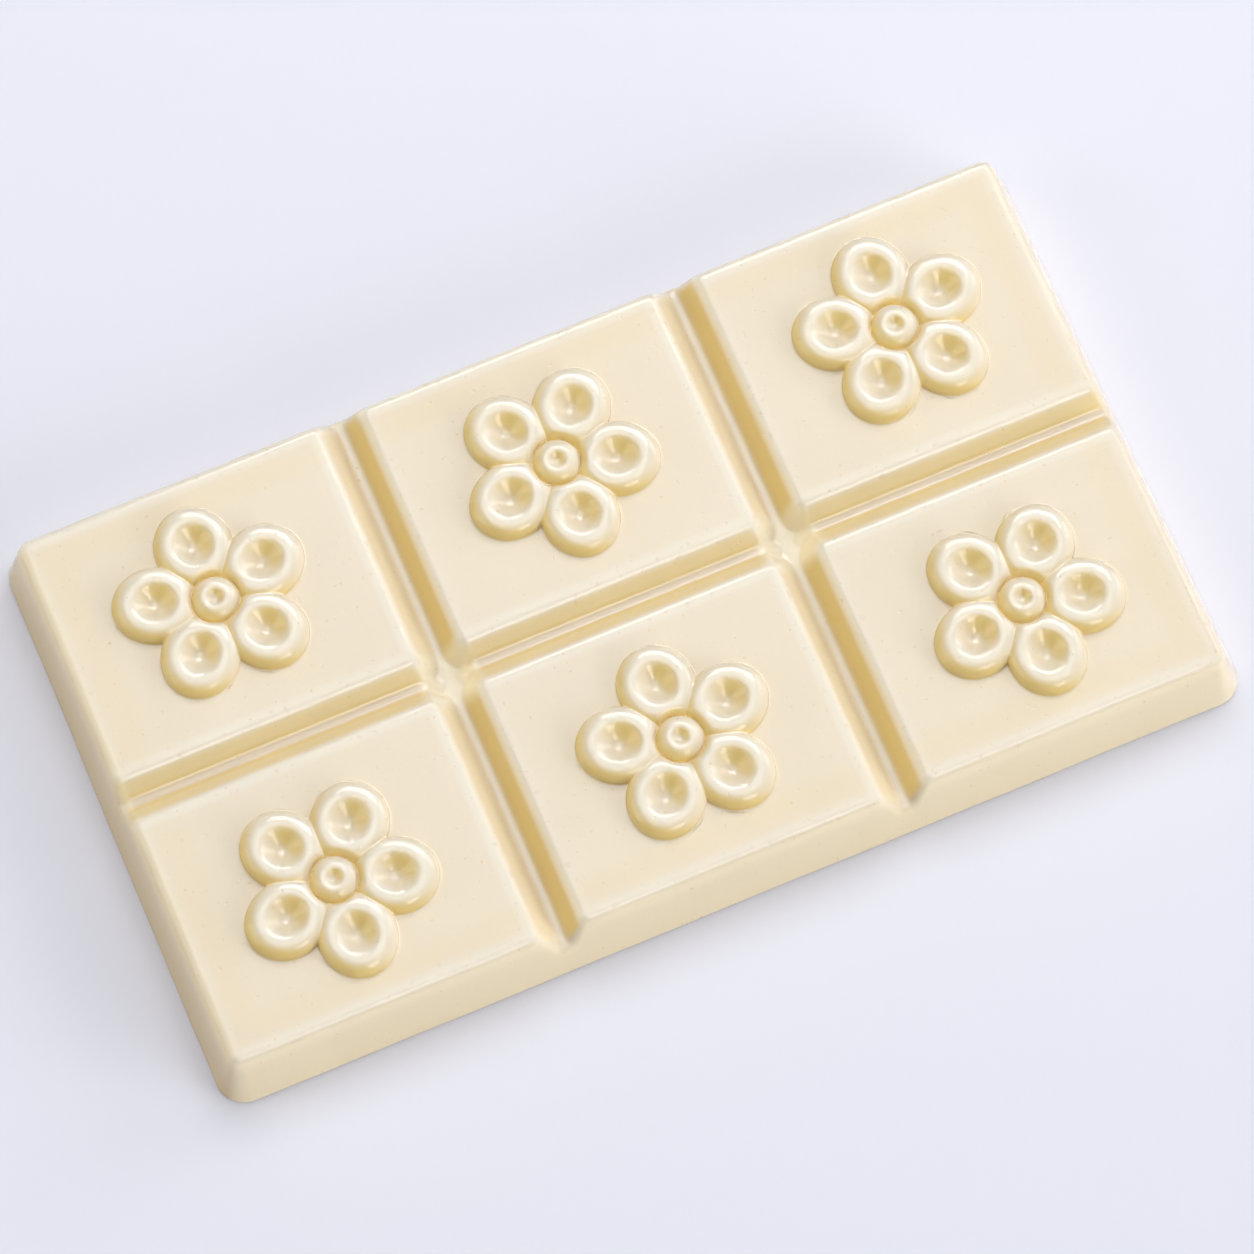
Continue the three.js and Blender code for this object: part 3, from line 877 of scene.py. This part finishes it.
light = {
    "skyColour": (1.0, 1.0, 1.0),
    "skyStrength": 0.35,
    "boxes": {
        "key": {"azimuth": 62, "elevation": 64, "distance": 0.52, "size": (0.36, 0.36), "power": 1.17},
        "fill": {"azimuth": -45, "elevation": 14, "distance": 1.2, "size": (0.8, 0.8), "power": 9.4},
        "left": {"azimuth": 168, "elevation": 27, "distance": 0.9, "size": (0.6, 0.6), "power": 1.8},
        "right": {"azimuth": 14, "elevation": 27, "distance": 0.9, "size": (0.35, 0.35), "power": 1.2},
    },
    "noGloss": ("key", "fill"),  # boxes that don't show in the gloss
    # These only show in the gloss. The overhead one is the sheen of the flats, in place
    # of the key's own, and the others are highlights along the edges and on the blossoms.
    "strips": {
        "overhead": {"azimuth": 90, "elevation": 84, "distance": 0.9, "size": (0.8, 0.8), "power": 5.4},
        "window": {"azimuth": 60, "elevation": 44, "distance": 0.9, "size": (0.7, 0.40), "power": 7.5},
        "back": {"azimuth": 92, "elevation": 20, "distance": 0.9, "size": (0.45, 0.35), "power": 0.6},
        "front": {"azimuth": -80, "elevation": 44, "distance": 0.9, "size": (0.35, 0.35), "power": 1.9},
    },
}


def makeLight():
    world = bpy.data.worlds.new("studio")
    world.use_nodes = True
    background = world.node_tree.nodes["Background"]
    background.inputs["Color"].default_value = (*light["skyColour"], 1)
    background.inputs["Strength"].default_value = light["skyStrength"]
    scene.world = world
    for name, box in {**light["boxes"], **light["strips"]}.items():
        azimuth, elevation = math.radians(box["azimuth"]), math.radians(box["elevation"])
        data = bpy.data.lights.new(name, "AREA")
        data.shape = "RECTANGLE"
        data.size, data.size_y = box["size"]
        data.energy = box["power"]
        softbox = bpy.data.objects.new(name, data)
        softbox.location = Vector((
            math.cos(azimuth) * math.cos(elevation),
            math.sin(azimuth) * math.cos(elevation),
            math.sin(elevation),
        )) * box["distance"]
        softbox.rotation_mode = "QUATERNION"
        softbox.rotation_quaternion = (-softbox.location).to_track_quat("-Z", "Y")
        softbox.visible_camera = False
        softbox.visible_diffuse = name in light["boxes"]
        softbox.visible_glossy = name not in light["noGloss"]
        scene.collection.objects.link(softbox)
    scene.view_settings.view_transform = "Standard"
    scene.view_settings.look = "None"
    print("lights:", len(light["boxes"]), "boxes and", len(light["strips"]), "strips")


makeLight()

view = {
    "azimuth": -19.24, "elevation": 71.07, "roll": -3.75, "distance": 0.6235,
    "target": (0.00064, -0.00013, 0.0), "lens": 188.55, "sensor": 36, "clip": (0.01, 10),
}


def makeCamera():
    azimuth, elevation, roll = (math.radians(view[k]) for k in ("azimuth", "elevation", "roll"))
    back = Vector((
        math.sin(azimuth) * math.cos(elevation),
        -math.cos(azimuth) * math.cos(elevation),
        math.sin(elevation),
    ))
    level = Vector((math.cos(azimuth), math.sin(azimuth), 0))
    upright = level.cross(-back)
    right = level * math.cos(roll) + upright * math.sin(roll)
    up = upright * math.cos(roll) - level * math.sin(roll)
    data = bpy.data.cameras.new("camera")
    data.lens = view["lens"]
    data.sensor_width = view["sensor"]
    data.clip_start, data.clip_end = view["clip"]
    camera = bpy.data.objects.new("camera", data)
    turn = Matrix((right, up, back)).transposed()
    camera.matrix_world = turn.to_4x4()
    camera.location = Vector(view["target"]) + back * view["distance"]
    scene.collection.objects.link(camera)
    scene.camera = camera
    print("camera set")


makeCamera()
bpy.context.view_layer.update()
